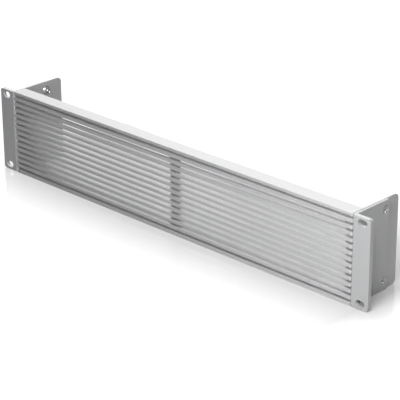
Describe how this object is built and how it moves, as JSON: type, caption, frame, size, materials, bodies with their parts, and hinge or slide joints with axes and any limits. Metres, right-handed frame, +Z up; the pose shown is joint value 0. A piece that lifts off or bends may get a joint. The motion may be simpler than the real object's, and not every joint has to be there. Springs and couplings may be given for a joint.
{
  "type": "vented blanking panel",
  "caption": "Vented blanking panel for a 19 inch rack: slatted aluminium front with angle brackets as ears and folded side plates.",
  "frame": {"origin": "on the floor under the middle of the panel's box", "axes": "+X to the panel's right as seen from the front, +Y backwards into the rack, +Z up"},
  "size_m": [0.4826, 0.063, 0.088],
  "materials": {
    "anodised_front": "fine satin, clear anodised",
    "anodised_bracket": "satin, clear anodised",
    "sheet_plate": "matt, clear anodised sheet",
    "plated_nut": "zinc plated, smooth",
    "plated_screw": "zinc plated, smooth"
  },
  "bodies": {
    "root": {"front_grille": "anodised_front", "left_ear_bracket": "anodised_bracket", "left_side_plate": "sheet_plate", "left_clinch_nuts": "plated_nut", "left_bracket_screws": "plated_screw", "left_tab_screws": "plated_screw", "right_ear_bracket": "anodised_bracket", "right_side_plate": "sheet_plate", "right_clinch_nuts": "plated_nut", "right_bracket_screws": "plated_screw", "right_tab_screws": "plated_screw"}
  },
  "joints": []
}
